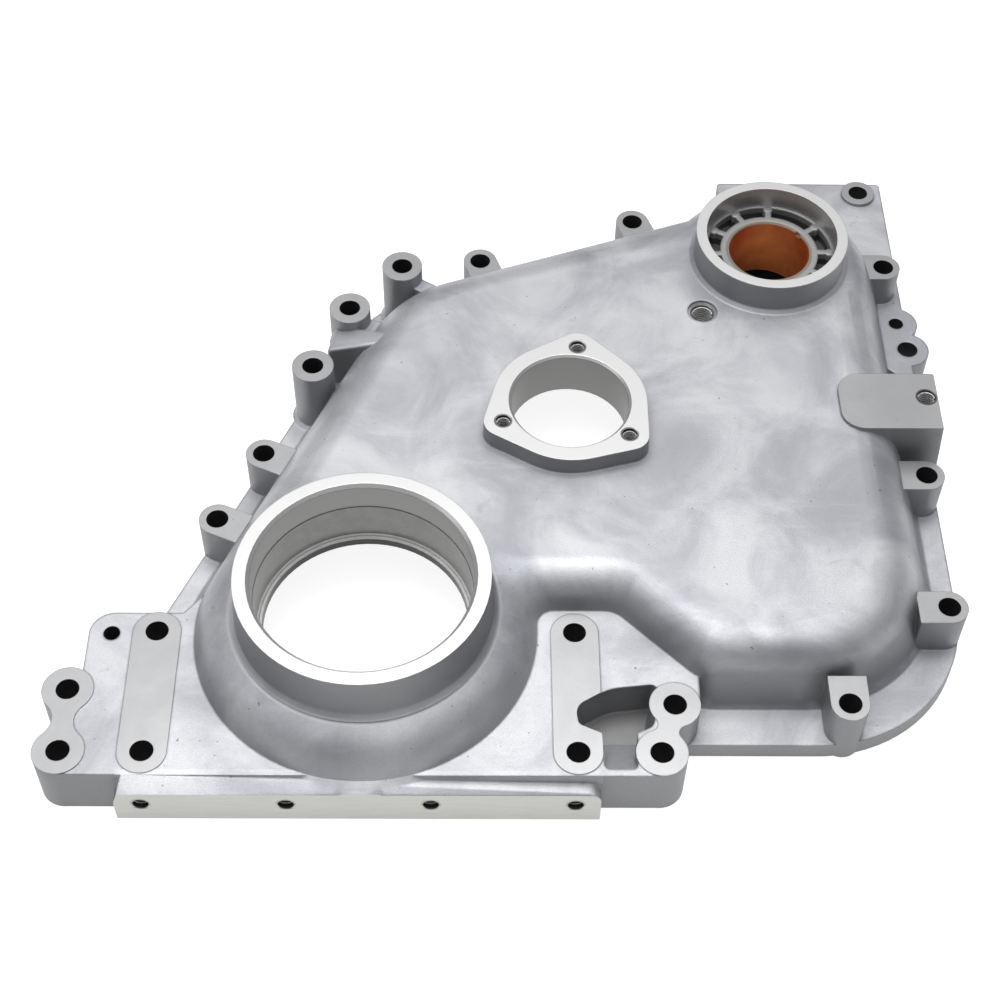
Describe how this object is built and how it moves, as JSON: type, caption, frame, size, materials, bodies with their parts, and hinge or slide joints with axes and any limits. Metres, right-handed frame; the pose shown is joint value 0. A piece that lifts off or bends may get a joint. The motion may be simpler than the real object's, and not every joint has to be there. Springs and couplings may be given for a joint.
{
  "type": "engine timing gear cover",
  "caption": "Cast cover with a domed gear housing, a tall crankshaft seal ring, bolted flange bosses and a bushed accessory drive ring.",
  "frame": {"origin": "crankshaft axis where it crosses the gasket face", "axes": "+Z outwards from the engine along the crankshaft, +Y towards the top of the engine, +X to the right"},
  "size_m": [0.5369, 0.4955, 0.0905],
  "materials": {
    "cast_aluminium": "fine cast skin with bright machined faces",
    "bush_bronze": "satin bored"
  },
  "bodies": {
    "root": {"gear_cover": "cast_aluminium", "drive_bushing": "bush_bronze"}
  },
  "joints": []
}
